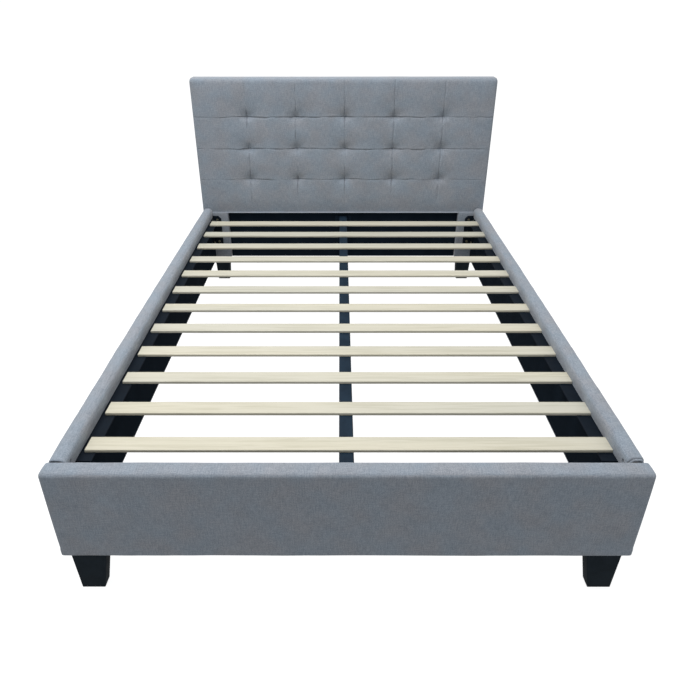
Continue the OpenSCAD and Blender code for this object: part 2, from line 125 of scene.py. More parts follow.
def linen(name, dark, light, yarn=0.9 * MM):
    """Plain-weave upholstery: crossing yarns, slubs and blotchy melange colour."""
    g = Graph(name, Sheen_Weight=0.25, Sheen_Roughness=0.5, Specular_IOR_Level=0.25)
    uv = g.weave()
    split = g.node("ShaderNodeSeparateXYZ", {0: uv})
    turn = math.pi / yarn
    across = g.math("SINE", g.math("MULTIPLY", split.outputs[0], turn))
    along = g.math("SINE", g.math("MULTIPLY", split.outputs[1], turn))
    over = g.math("GREATER_THAN", g.math("MULTIPLY", across, along), 0.0)
    warp, weft = g.math("ABSOLUTE", across), g.math("ABSOLUTE", along)
    cloth = g.math("ADD", g.math("MULTIPLY", warp, over),
                   g.math("MULTIPLY", weft, g.math("SUBTRACT", 1.0, over)))
    slub_u = g.noise(g.scaled(uv, (1 / (3.2 * MM), 1 / (24 * MM), 1)), 1.0, 2.0)
    slub_v = g.noise(g.scaled(uv, (1 / (20 * MM), 1 / (3.4 * MM), 1)), 1.0, 2.0)
    grain = g.noise(uv, 1 / (3.0 * MM), 2.0, 0.6)
    blotch = g.noise(uv, 1 / (70 * MM), 3.0, 0.6)
    cast = g.noise(uv, 1 / (95 * MM), 2.0)
    mixed = g.math("ADD", g.math("MULTIPLY", slub_u, 0.25), g.math("MULTIPLY", slub_v, 0.20))
    mixed = g.math("ADD", mixed, g.math("MULTIPLY", grain, 0.45))
    mixed = g.math("ADD", mixed, g.math("MULTIPLY", blotch, 0.10))
    tone = g.spread(mixed, 0.40, 0.60)
    colour = g.mix(tone, dark, light)
    hue = g.mix(g.spread(cast, 0.36, 0.64), rgb(0.965, 1.0, 1.025), rgb(1.04, 0.99, 0.965))
    colour = g.mix(1.0, colour, hue, "MULTIPLY")
    shade = g.spread(cloth, 0.0, 1.0, 0.80, 1.06)
    shade_rgb = g.node("ShaderNodeCombineColor", {0: shade, 1: shade, 2: shade})
    colour = g.mix(1.0, colour, shade_rgb.outputs[0], "MULTIPLY")
    yarns = g.bump(cloth, 0.25 * MM, 0.35)
    slubs = g.bump(g.math("ADD", slub_u, slub_v), 0.5 * MM, 0.20, yarns)
    return g.finish(Base_Color=colour, Roughness=g.spread(grain, 0.3, 0.7, 0.85, 0.97), Normal=slubs)


def felt(name, dark, light):
    """Non-woven lining: matted fibres with small embossed bond points."""
    g = Graph(name, Specular_IOR_Level=0.04)
    uv = g.weave()
    fibres = g.noise(uv, 1 / (2.2 * MM), 4.0, 0.7, 1.2)
    cloud = g.noise(uv, 1 / (60 * MM), 2.0)
    dots = g.node("ShaderNodeTexVoronoi", {"Vector": uv, "Scale": 1 / (2.4 * MM), "Randomness": 0.15})
    point = g.spread(dots.outputs["Distance"], 0.12, 0.3)
    tone = g.math("ADD", g.math("MULTIPLY", fibres, 0.65), g.math("MULTIPLY", cloud, 0.35))
    colour = g.mix(g.spread(tone, 0.35, 0.68), dark, light)
    height = g.math("ADD", g.math("MULTIPLY", point, 0.6), fibres)
    return g.finish(Base_Color=colour, Roughness=g.spread(point, 0.0, 1.0, 0.55, 0.85),
                    Normal=g.bump(height, 0.3 * MM, 0.6))


def timber(name, pale, streak, along, ring=9 * MM, gloss=0.55, knots=0.0, boards=0.0):
    """Sawn wood with its grain along axis 0, 1 or 2; boards spaced along Y may differ in tone."""
    g = Graph(name, Specular_IOR_Level=0.35)
    stretch = [1.0, 1.0, 1.0]
    stretch[along] = 0.045
    place = g.scaled(g.place(), tuple(stretch))
    bands = g.noise(place, 1 / ring, 3.0, 0.6, 0.6)
    fibre = g.noise(place, 1 / (1.1 * MM), 2.0, 0.7)
    wide = g.noise(g.place(), 7.0, 2.0)
    line = g.spread(bands, 0.44, 0.62)
    tone = g.math("ADD", g.math("MULTIPLY", line, 0.5), g.math("MULTIPLY", fibre, 0.22))
    tone = g.math("ADD", tone, g.math("MULTIPLY", wide, 0.28), clamp=True)
    colour = g.mix(tone, pale, streak)
    if boards:
        each = g.noise(g.scaled(g.place(), (0.4, 1 / boards, 0.0)), 1.0, 1.0)
        board = g.mix(g.spread(each, 0.35, 0.65), rgb(0.94, 0.95, 0.97), rgb(1.05, 1.03, 0.99))
        colour = g.mix(1.0, colour, board, "MULTIPLY")
    if knots:
        cell = g.node("ShaderNodeTexVoronoi", {"Vector": place, "Scale": 5.5})
        spot = g.spread(cell.outputs["Distance"], 0.0, 0.05, knots, 0.0)
        colour = g.mix(spot, colour, rgb(0.20, 0.12, 0.06))
    return g.finish(Base_Color=colour, Roughness=g.spread(fibre, 0.3, 0.7, gloss - 0.08, gloss + 0.12),
                    Normal=g.bump(g.math("ADD", fibre, bands), 0.18 * MM, 0.5))


def plywood(name):
    """Poplar plywood: faint face grain, its layers showing on the edges."""
    g = Graph(name, Roughness=0.7)
    place = g.place()
    face = g.noise(g.scaled(place, (0.06, 1.0, 1.0)), 1 / (7 * MM), 3.0, 0.6, 0.8)
    split = g.node("ShaderNodeSeparateXYZ", {0: place})
    plies = g.math("SINE", g.math("MULTIPLY", g.math("ADD", split.outputs[0], split.outputs[1]),
                                  2 * math.pi / (3 * MM)))
    tone = g.math("ADD", g.math("MULTIPLY", face, 0.7), g.math("MULTIPLY", plies, 0.12))
    colour = g.mix(g.spread(tone, 0.2, 0.6), rgb(0.62, 0.47, 0.30), rgb(0.42, 0.28, 0.16))
    return g.finish(Base_Color=colour, Normal=g.bump(face, 0.2 * MM, 0.5))


def painted_steel(name, dark, light, rough):
    """Powder coat: fine orange peel, a little dust and rubbed patches."""
    g = Graph(name, Specular_IOR_Level=0.1)
    place = g.place()
    peel = g.noise(place, 1 / (1.3 * MM), 2.0)
    dust = g.noise(place, 1 / (45 * MM), 4.0, 0.65)
    colour = g.mix(g.spread(dust, 0.35, 0.7), dark, light)
    return g.finish(Base_Color=colour, Roughness=g.spread(dust, 0.3, 0.7, rough - 0.08, rough + 0.12),
                    Normal=g.bump(peel, 0.08 * MM, 0.5))


def zinc_plate(name):
    """Yellow-passivated zinc with cloudy tarnish."""
    g = Graph(name, Metallic=1.0)
    place = g.place()
    cloud = g.noise(place, 1 / (5 * MM), 3.0, 0.7)
    scratch = g.noise(g.scaled(place, (1, 1, 0.1)), 1 / (0.5 * MM), 2.0)
    colour = g.mix(g.spread(cloud, 0.35, 0.65), rgb(0.26, 0.24, 0.15), rgb(0.36, 0.34, 0.25))
    return g.finish(Base_Color=colour, Roughness=g.spread(cloud, 0.3, 0.7, 0.42, 0.62),
                    Normal=g.bump(scratch, 0.04 * MM, 0.4))


def moulded_plastic(name, dark, light):
    """Black polypropylene with a fine moulded grain."""
    g = Graph(name, Specular_IOR_Level=0.12)
    place = g.place()
    pebble = g.node("ShaderNodeTexVoronoi", {"Vector": place, "Scale": 1 / (1.2 * MM)})
    haze = g.noise(place, 1 / (25 * MM), 3.0, 0.6)
    colour = g.mix(g.spread(haze, 0.35, 0.65), dark, light)
    return g.finish(Base_Color=colour, Roughness=g.spread(haze, 0.3, 0.7, 0.50, 0.66),
                    Normal=g.bump(pebble.outputs["Distance"], 0.10 * MM, 0.5))


FABRIC = linen("linen_grey", rgb(0.208, 0.237, 0.272), rgb(0.343, 0.376, 0.423))
LINING = felt("lining_felt", rgb(0.0055, 0.0105, 0.0175), rgb(0.0125, 0.0210, 0.0325))
SLAT = timber("slat_wood", rgb(0.625, 0.596, 0.500), rgb(0.495, 0.470, 0.370), 0, ring=10 * MM,
              boards=0.13)
PINE_X = timber("pine_across", rgb(0.72, 0.56, 0.36), rgb(0.52, 0.35, 0.18), 0, knots=0.8)
PINE_Z = timber("pine_upright", rgb(0.72, 0.56, 0.36), rgb(0.52, 0.35, 0.18), 2, knots=0.8)
PLY = plywood("plywood")
STEEL = painted_steel("powder_coat", rgb(0.0072, 0.0170, 0.0305), rgb(0.0145, 0.0290, 0.0480), 0.60)
# The powder coat again at about half its brightness: painted shade for the ledges, their screws and the
# corner brackets, which sit under the rails.
SHADED_STEEL = painted_steel("powder_coat_painted_shade", rgb(0.0036, 0.0070, 0.0125), rgb(0.0068, 0.0118, 0.0190), 0.60)
ZINC = zinc_plate("zinc_plate")
PLASTIC = moulded_plastic("black_plastic", rgb(0.0092, 0.0150, 0.0205), rgb(0.0152, 0.0225, 0.0300))


# ---------------------------------------------------------------- mesh helpers


def wobble(x, y, z, size, seed=0.0):
    """Smooth noise from -1 to 1 whose features measure about size."""
    return noise.noise(Vector((x / size + seed, y / size - seed, z / size + 2 * seed)))


def weave_uv(mesh):
    """Flat fabric coordinates in metres, from the side of the bed that each face looks to."""
    layer = mesh.uv_layers.new(name="weave")
    flat = np.zeros((len(mesh.loops), 2), np.float32)
    co = np.array([v.co for v in mesh.vertices], float)
    for face in mesh.polygons:
        n = np.abs(np.array(face.normal))
        picked = ((1, 2), (0, 2), (0, 1))[int(np.argmax(n * (1.0, 1.05, 1.0)))]
        loops = list(face.loop_indices)
        flat[loops] = co[list(face.vertices)][:, picked]
    layer.data.foreach_set("uv", flat.ravel())


def piece(name, points, faces, material, body="frame", smooth=50.0):
    """A finished mesh piece: normals, fabric coordinates, material and body."""
    mesh = bpy.data.meshes.new(name)
    mesh.from_pydata([tuple(p) for p in points], [], faces)
    work = bmesh.new()
    work.from_mesh(mesh)
    bmesh.ops.remove_doubles(work, verts=work.verts, dist=1e-6)
    bmesh.ops.recalc_face_normals(work, faces=work.faces)
    work.to_mesh(mesh)
    work.free()
    mesh.materials.append(material)
    weave_uv(mesh)
    mesh.polygons.foreach_set("use_smooth", [True] * len(mesh.polygons))
    mesh.set_sharp_from_angle(angle=math.radians(smooth))
    made = bpy.data.objects.new(name, mesh)
    bpy.context.scene.collection.objects.link(made)
    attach(made, body)
    return made


def ring_faces(rings, count):
    """Quads between successive rings of count points, and flat end caps."""
    faces = []
    for k in range(rings - 1):
        for i in range(count):
            j = (i + 1) % count
            faces.append((k * count + i, k * count + j, (k + 1) * count + j, (k + 1) * count + i))
    faces.append(tuple(range(count)))
    faces.append(tuple(range((rings - 1) * count, rings * count)))
    return faces


def arc(centre, radius, start, end, steps):
    """Points of an arc in a plane, angles in degrees."""
    angles = np.radians(np.linspace(start, end, steps))
    return np.stack([centre[0] + radius * np.cos(angles), centre[1] + radius * np.sin(angles)], 1)


def fill_between(points, step):
    """The closed outline with points added so that no side is longer than step."""
    out = []
    for a, b in zip(points, np.roll(points, -1, axis=0)):
        parts = max(1, int(math.ceil(np.linalg.norm(b - a) / step)))
        out += [a + (b - a) * k / parts for k in range(parts)]
    return np.array(out)


def outline_normals(points):
    """Outward normals of a closed outline that runs anticlockwise."""
    side = np.roll(points, -1, axis=0) - np.roll(points, 1, axis=0)
    normal = np.stack([side[:, 1], -side[:, 0]], 1)
    return normal / np.maximum(np.linalg.norm(normal, axis=1, keepdims=True), 1e-9)


def end_profile(low, high, r_low, r_high, step, extra=(), steps=5):
    """Stations along a bar with rounded ends: (position, inset)."""
    curve = np.radians(np.linspace(0, 90, steps))
    found = [(low + r_low * (1 - math.sin(a)), r_low * (1 - math.cos(a))) for a in curve]
    found += [(high - r_high * (1 - math.sin(a)), r_high * (1 - math.cos(a))) for a in curve]
    found += [(p, 0.0) for p in extra if low + r_low < p < high - r_high]
    for p in np.linspace(low + r_low, high - r_high, int((high - low) / step)):
        if min(abs(p - q) for q, _ in found) > 0.4 * step:
            found.append((p, 0.0))
    return sorted(found)


# ---------------------------------------------------------------- headboard

H_LOW, H_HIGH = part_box("headboard_cover")
FRONT, BACK = H_LOW.y, H_HIGH.y
HALF = H_HIGH.x
BASE, TOP = H_LOW.z, H_HIGH.z
MID_Z = (BASE + TOP) / 2
TIES_LOW, TIES_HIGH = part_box("tuft_ties")
WASHER_R = 11 * MM
TUFT_X = list(np.linspace(TIES_LOW.x + WASHER_R, TIES_HIGH.x - WASHER_R, 5))
TUFT_Z = list(np.linspace(TIES_LOW.z + WASHER_R, TIES_HIGH.z - WASHER_R, 3))
EDGE = 11 * MM              # rounding of the sides, seen from the front and in depth
EDGE_LOW, EDGE_TOP = 4 * MM, 20 * MM
DIMPLE = 24 * MM            # depth of a tuft
DIMPLE_END = DIMPLE + 7 * MM
TUFT_SHARE, PUFF_SHARE = 0.85, 0.55
LEAN = 11 * MM              # how far the lower edge is drawn in below the lowest tufts
BACK_HEM, BACK_RECESS = 20 * MM, 6 * MM     # the cover's turned-in back, round the lining


def tuft_depth(x, z):
    """How far the tufts pull the cover in at a point."""
    deep = 0.0
    for tx in TUFT_X:
        for tz in TUFT_Z:
            away = math.hypot((x - tx) / 1.4, (z - tz) * (1.1 if z < tz else 0.8))
            deep = max(deep, DIMPLE / (1 + (away / (21 * MM)) ** 2) ** 1.3)
    return deep


def near(value, places):
    """Distance to the closest of the places."""
    return min(abs(value - p) for p in places)


def simulated_puff(nx=146, nz=66, frames=22):
    """The cover's fullness between the tufts, by cloth under light pressure: a grid of heights."""
    xs = np.linspace(-HALF + EDGE, HALF - EDGE, nx)
    zs = np.linspace(BASE + EDGE, TOP - EDGE, nz)
    points = [(x, FRONT + tuft_depth(x, z), z) for z in zs for x in xs]
    faces = [(j * nx + i, j * nx + i + 1, (j + 1) * nx + i + 1, (j + 1) * nx + i)
             for j in range(nz - 1) for i in range(nx - 1)]
    mesh = bpy.data.meshes.new("trial_cover")
    mesh.from_pydata(points, [], faces)
    trial = bpy.data.objects.new("trial_cover", mesh)
    bpy.context.scene.collection.objects.link(trial)
    held = trial.vertex_groups.new(name="held")
    for n, (x, _, z) in enumerate(points):
        i, j = n % nx, n // nx
        edge = i in (0, nx - 1) or j in (0, nz - 1)
        tuft = min(math.hypot(x - a, z - b) for a in TUFT_X for b in TUFT_Z)
        row, column = near(z, TUFT_Z), near(x, TUFT_X)
        weight = 0.0
        if row < 6 * MM:
            weight = 0.12
        if column < 6 * MM:
            weight = max(weight, 0.05)
        if edge or tuft < 9 * MM:
            weight = 1.0
        if weight:
            held.add([n], weight, "REPLACE")
    cloth = trial.modifiers.new("cloth", "CLOTH")
    rule = cloth.settings
    rule.quality = 6
    rule.mass = 0.3
    rule.tension_stiffness = rule.compression_stiffness = 20
    rule.shear_stiffness = 8
    rule.bending_stiffness = 1.5
    rule.shrink_min = -0.004
    rule.vertex_group_mass = "held"
    rule.use_pressure = True
    rule.uniform_pressure_force = 4.0
    rule.effector_weights.gravity = 0.0
    cloth.point_cache.frame_start, cloth.point_cache.frame_end = 1, frames
    scene = bpy.context.scene
    for f in range(1, frames + 1):
        scene.frame_set(f)
    shaped = trial.evaluated_get(bpy.context.evaluated_depsgraph_get()).data
    moved = np.array([v.co for v in shaped.vertices], float)
    rest = np.array(points)
    out = np.clip(rest[:, 1] - moved[:, 1], -2 * MM, 9 * MM).reshape(nz, nx)
    for _ in range(3):
        wide = np.pad(out, 1, mode="edge")
        out = (wide[:-2, 1:-1] + wide[2:, 1:-1] + wide[1:-1, :-2] + wide[1:-1, 2:] + 4 * out) / 8
    bpy.data.objects.remove(trial)
    scene.frame_set(1)
    return xs, zs, out


PUFF = simulated_puff()


def puff_at(x, z):
    """Bilinear reading of the fullness."""
    xs, zs, grid = PUFF
    u = np.clip((x - xs[0]) / (xs[1] - xs[0]), 0, len(xs) - 1.001)
    v = np.clip((z - zs[0]) / (zs[1] - zs[0]), 0, len(zs) - 1.001)
    i, j = int(u), int(v)
    a, b = u - i, v - j
    return ((grid[j, i] * (1 - a) + grid[j, i + 1] * a) * (1 - b)
            + (grid[j + 1, i] * (1 - a) + grid[j + 1, i + 1] * a) * b)


PLEAT_STEPS = [s * MM for s in (0.9, 2.0, 3.4, 5.2, 7.6, 11.0, 15.5, 21.0)]


def stations(low, high, step, places, radius):
    """Grid lines over a padded face: fine beside the pleats, rounded at both ends."""
    rim = [1 - math.cos(a) for a in np.radians(np.linspace(0, 90, 7))]
    fine = [low + radius[0] * d for d in rim] + [high - radius[1] * d for d in rim]
    for p in places:
        fine += [p] + [p + s for s in PLEAT_STEPS] + [p - s for s in PLEAT_STEPS]
    for v in np.linspace(low, high, int((high - low) / step)):
        clear = min(abs(v - f) for f in fine)
        if clear > 0.45 * step and low + radius[0] < v < high - radius[1]:
            fine.append(v)
    return np.array(sorted(fine))


def row_line(tz, x):
    """Height of a horizontal pleat at x: it wanders a little between the tufts."""
    loose = min(1.0, near(x, TUFT_X) / (40 * MM))
    return tz + loose * (3.8 * MM * wobble(x, tz, 0, 0.11) + 2.6 * MM * wobble(x, tz, 1, 0.035))


def column_line(tx, z):
    """Place across the bed of a vertical pleat at height z."""
    loose = min(1.0, near(z, TUFT_Z) / (40 * MM))
    return tx + loose * 3.0 * MM * wobble(tx, z, 3, 0.09)


def pleats(x, z):
    """Depth of the pleats at a point, and how far the lip above a horizontal pleat sags."""
    deep, sag = 0.0, 0.0
    for tz in TUFT_Z:
        t = z - row_line(tz, x)
        if abs(t) < 40 * MM:
            pull = math.exp(-near(x, TUFT_X) / (45 * MM))
            outer = max(0.0, abs(x - TUFT_X[2]) - TUFT_X[4] + TUFT_X[2]) / (110 * MM)
            fade = (1 - 0.62 * min(1.0, outer)) * (1.0 if tz > TUFT_Z[0] else 0.66)
            patchy = fade * min(1.3, max(0.06, 0.74 + 1.7 * wobble(x, tz, 5, 0.050)))
            size = (4.9 + 2.8 * pull) * MM * patchy
            deep += size * math.exp(-abs(t) / ((1.7 if t > 0 else 3.9) * MM))
            if t > 0:
                lip = math.exp(-((t - 5 * MM) / (4 * MM)) ** 2)
                deep -= 0.8 * MM * patchy * lip
                sag += 1.8 * MM * patchy * math.exp(-t / (4 * MM))
    for tx in TUFT_X:
        t = x - column_line(tx, z)
        if abs(t) < 30 * MM:
            pull = math.exp(-near(z, TUFT_Z) / (34 * MM))
            low_end = min(1.0, max(0.0, (z - BASE - 12 * MM) / (85 * MM)))
            patchy = 0.72 + 1.5 * wobble(tx, z, 7, 0.035)
            size = min(1.35, max(0.1, patchy)) * low_end * MM
            deep += (3.1 + 2.6 * pull) * size * math.exp(-abs(t) / (1.9 * MM))
            deep -= 1.1 * size * math.exp(-((abs(t) - 9 * MM) / (4 * MM)) ** 2)
    return deep, sag


def puckers(x, z):
    """Small folds that fan out from the tufts."""
    total = 0.0
    for tx in TUFT_X:
        for tz in TUFT_Z:
            dx, dz = x - tx, z - tz
            away = math.hypot(dx, dz)
            if 6 * MM < away < 95 * MM:
                angle = math.atan2(dz, dx)
                fan = math.sin(9 * angle + 5 * wobble(tx, tz, angle, 1.3))
                total += 0.8 * MM * fan * math.exp(-away / (30 * MM)) * min(1, away / (16 * MM))
    return total


def headboard():
    """The tufted padding: front, sides and the turned-in back, one closed form."""
    xs = stations(-HALF, HALF, 8 * MM, TUFT_X, (EDGE, EDGE))
    zs = stations(BASE, TOP, 8 * MM, TUFT_Z, (EDGE_LOW, EDGE_TOP))
    nx, nz = len(xs), len(zs)
    points = np.zeros((nz, nx, 3))
    for j, z0 in enumerate(zs):
        for i, x0 in enumerate(xs):
            cx = min(1.0, max(0.0, 1 - min(x0 + HALF, HALF - x0) / EDGE))
            edge_z = EDGE_TOP if z0 > MID_Z else EDGE_LOW
            cz = min(1.0, max(0.0, 1 - min(z0 - BASE, TOP - z0) / edge_z))
            span, length = max(cx, cz), math.hypot(cx, cz)
            if cx and cz:
                sx, sz = (1 if x0 > 0 else -1), (1 if z0 > MID_Z else -1)
                x = sx * (HALF - EDGE + EDGE * cx * span / length)
                z = (TOP - EDGE_TOP if sz > 0 else BASE + EDGE_LOW) + sz * edge_z * cz * span / length
            else:
                x, z = x0, z0
            edge = (EDGE * cx + min(13 * MM, edge_z) * cz) / (cx + cz) if cx + cz else EDGE
            rim = edge * (1 - math.sqrt(max(0.0, 1 - span * span)))
            inside = 1 - span
            follow_z = math.exp(-(near(z, TUFT_Z) / (25 * MM)) ** 2) * inside
            follow_x = math.exp(-(near(x, TUFT_X) / (25 * MM)) ** 2) * inside
            tz = min(TUFT_Z, key=lambda v: abs(v - z))
            tx = min(TUFT_X, key=lambda v: abs(v - x))
            z_line = z + (row_line(tz, x) - tz) * follow_z
            x_line = x + (column_line(tx, z) - tx) * follow_x
            deep, sag = pleats(x_line, z_line)
            soft = 0.9 * MM * wobble(x, z, 2, 0.16) + 0.35 * MM * wobble(x, z, 9, 0.045)
            depth = min(DIMPLE_END, TUFT_SHARE * tuft_depth(x, z) + deep) - PUFF_SHARE * puff_at(x, z)
            lean = LEAN * max(0.0, (TUFT_Z[0] - z) / (TUFT_Z[0] - BASE)) ** 1.3
            y = FRONT + rim + (depth - puckers(x, z) + soft + lean) * inside
            points[j, i] = (x_line, y, z_line - sag * inside)
    faces = [(j * nx + i, j * nx + i + 1, (j + 1) * nx + i + 1, (j + 1) * nx + i)
             for j in range(nz - 1) for i in range(nx - 1)]
    loop = ([(0, i) for i in range(nx)] + [(j, nx - 1) for j in range(1, nz)]
            + [(nz - 1, i) for i in range(nx - 2, -1, -1)] + [(j, 0) for j in range(nz - 2, 0, -1)])
    rim = np.array([points[j, i] for j, i in loop])
    ids = [j * nx + i for j, i in loop]
    all_points = [tuple(p) for p in points.reshape(-1, 3)]
    back_r = 5 * MM
    depth = BACK - FRONT
    rings = [(y, 0.0) for y in np.linspace(EDGE + 5 * MM, depth - back_r, 9)]
    rings += [(depth - back_r + back_r * math.sin(a), back_r * (1 - math.cos(a)))
              for a in np.radians([22.5, 45, 67.5, 90])]
    rings += [(depth, BACK_HEM), (depth - BACK_RECESS, BACK_HEM + 0.3 * MM)]
    half_h = (TOP - BASE) / 2
    for away, inset in rings:
        new = []
        for x, _, z in rim:
            y = FRONT + away
            bulge = 0.7 * MM * wobble(x, y, z, 0.12) if inset == 0 else 0.0
            kx, kz = (HALF - inset + bulge) / HALF, (half_h - inset + bulge) / half_h
            new.append(len(all_points))
            all_points.append((x * kx, y, MID_Z + (z - MID_Z) * kz))
        count = len(ids)
        faces += [(ids[k], ids[(k + 1) % count], new[(k + 1) % count], new[k]) for k in range(count)]
        ids = new
    faces.append(tuple(ids))
    made = piece("headboard_padding", all_points, faces, FABRIC, smooth=60)
    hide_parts("headboard_cover", "headboard_foam")


headboard()


def tuft_twine():
    """Each tuft's twine, from the bottom of its dimple to the washer behind the plywood."""
    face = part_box("headboard_board")[1].y
    points, faces = [], []
    around = 12
    ring = [(math.cos(a), math.sin(a)) for a in np.linspace(0, 2 * math.pi, around, endpoint=False)]
    sections = [(FRONT + DIMPLE_END, 0.4), (FRONT + DIMPLE_END + 1 * MM, 1.6), (face - 1 * MM, 1.6),
                (face + 0.1 * MM, 10.2), (face + 0.5 * MM, 11.0), (face + 1.6 * MM, 11.0),
                (face + 2.0 * MM, 10.2), (face + 1.9 * MM, 3.0), (face + 3.4 * MM, 2.4),
                (face + 3.8 * MM, 0.6)]
    for tx in TUFT_X:
        for tz in TUFT_Z:
            first = len(points)
            for y, r in sections:
                points += [(tx + r * MM * c, y, tz + r * MM * s) for c, s in ring]
            faces += [tuple(first + v for v in f) for f in ring_faces(len(sections), around)]
    made = piece("tuft_twine", points, faces, ZINC, smooth=40)
    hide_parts("tuft_ties")


tuft_twine()


def leg_wrap(side):
    """Fabric stretched round a headboard leg and folded in under it."""
    low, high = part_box("headboard_leg_cover_" + side)
    r, skin = 4 * MM, 0.9 * MM
    corners = np.concatenate([
        arc((high.x - r, low.y + r), r, -90, 0, 7), arc((high.x - r, high.y - r), r, 0, 90, 7),
        arc((low.x + r, high.y - r), r, 90, 180, 7), arc((low.x + r, low.y + r), r, 180, 270, 7)])
    outline = fill_between(corners, 8 * MM)
    normal = outline_normals(outline)
    count = len(outline)
    heights = [(low.z, 6 * MM), (low.z, 3 * MM), (low.z + 0.8 * MM, 1.2 * MM), (low.z + 3 * MM, 0.0)]
    heights += [(z, 0.0) for z in np.linspace(low.z + 10 * MM, high.z - 8 * MM, 32)]
    heights += [(high.z - 1 * MM, 0.1 * MM), (high.z + 1.5 * MM, 0.7 * MM), (high.z + 4 * MM, 1.4 * MM)]
    points = []
    for z, inset in heights:
        for (x, y), (nx, ny) in zip(outline, normal):
            loose = (0.45 * wobble(x, y, z, 0.05, 3) + 0.35 * wobble(x, y, z, 0.12, 5)) * MM
            out = min(0.0, loose - 0.45 * MM) - inset
            points.append((x + nx * out, y + ny * out, z))
    outer = len(points)
    for (x, y, z), (nx, ny) in zip(list(points), np.tile(normal, (len(heights), 1))):
        points.append((x - nx * skin, y - ny * skin, z))
    faces = []
    for k in range(len(heights) - 1):
        for i in range(count):
            j = (i + 1) % count
            quad = (k * count + i, k * count + j, (k + 1) * count + j, (k + 1) * count + i)
            faces += [quad, tuple(outer + v for v in quad[::-1])]
    for k in (0, len(heights) - 1):
        for i in range(count):
            j = (i + 1) % count
            faces.append((k * count + i, k * count + j, outer + k * count + j, outer + k * count + i))
    made = piece("headboard_leg_wrap_" + side, points, faces, FABRIC)
    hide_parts("headboard_leg_cover_" + side)


for side in ("left", "right"):
    leg_wrap(side)


# ---------------------------------------------------------------- rails and footboard

R_LOW, R_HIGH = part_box("rail_cover_right")
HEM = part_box("rail_lining_right")[1].z      # level of the padding's hem above the lining
ROUND = 15 * MM
FOLD = 2 * MM
# An eyelet in the rails' inner face: from the foot end, above the hem, its radius and depth.
PIT_BACK, PIT_UP, PIT_R, PIT_DEPTH = 24 * MM, 23.5 * MM, 4.2 * MM, 17 * MM
HEAD_GAP = 2.5 * MM
BULGE, BULGE_UP, BULGE_HIGH = 3 * MM, 9 * MM, 38 * MM       # fullness of the inner face
# Stations of the rails' hollow foot ends in mm, from the recess outwards and back over the
# rim: (distance from the end, inset). The right one has a rolled hem in front of a groove.
FOOT_END = {
    "left": [(4.5, 5.2), (1.4, 4.0), (0.6, 3.0), (0.5, 2.0), (1.2, 0.9), (2.6, 0.3), (4.5, 0.0)],
    "right": [(4.5, 7.5), (1.4, 6.2), (0.6, 5.2), (0.5, 4.0), (1.3, 2.8), (2.8, 2.3), (4.3, 2.8),
              (5.2, 4.8), (5.8, 5.0), (6.5, 2.4), (7.4, 0.7), (8.6, 0.1)],
}
SINK = {"left": 4.0 * MM, "right": 0.3 * MM}        # how far the foot end's top is drawn down
BOW = {"left": (-0.3 * MM, 3.0 * MM), "right": (-1.8 * MM, 2.2 * MM)}   # outwards: ends, added middle


def rail_softness(side, x, y, z):
    """How far the fabric stands proud at a point of the rail's outline."""
    sign = 1 if side == "right" else -1
    x0, z1 = R_LOW.x, R_HIGH.z
    soft = (0.8 * wobble(x * 2, y, z * 2, 0.13, 1 + sign) + 0.35 * wobble(x, y, z, 0.035, 4)) * MM
    soft += 0.45 * MM * math.exp(-((z - z1) / (30 * MM)) ** 2) * wobble(x * 6, y + x * 2, z, 0.03, 2)
    soft += 1.1 * MM * math.exp(-(y - R_LOW.y) / (5 * MM)) * wobble(x, 0, z, 0.007, 8)
    if x < x0 + 12 * MM and z > HEM + BULGE_UP:
        soft += BULGE * math.sin(math.pi * min(1, (z - HEM - BULGE_UP) / BULGE_HIGH))
    if x < x0 + 3 * MM:
        away = math.hypot(y - R_LOW.y - PIT_BACK, z - HEM - PIT_UP)
        soft -= PIT_DEPTH * math.exp(-(away / PIT_R) ** 6)
    return soft


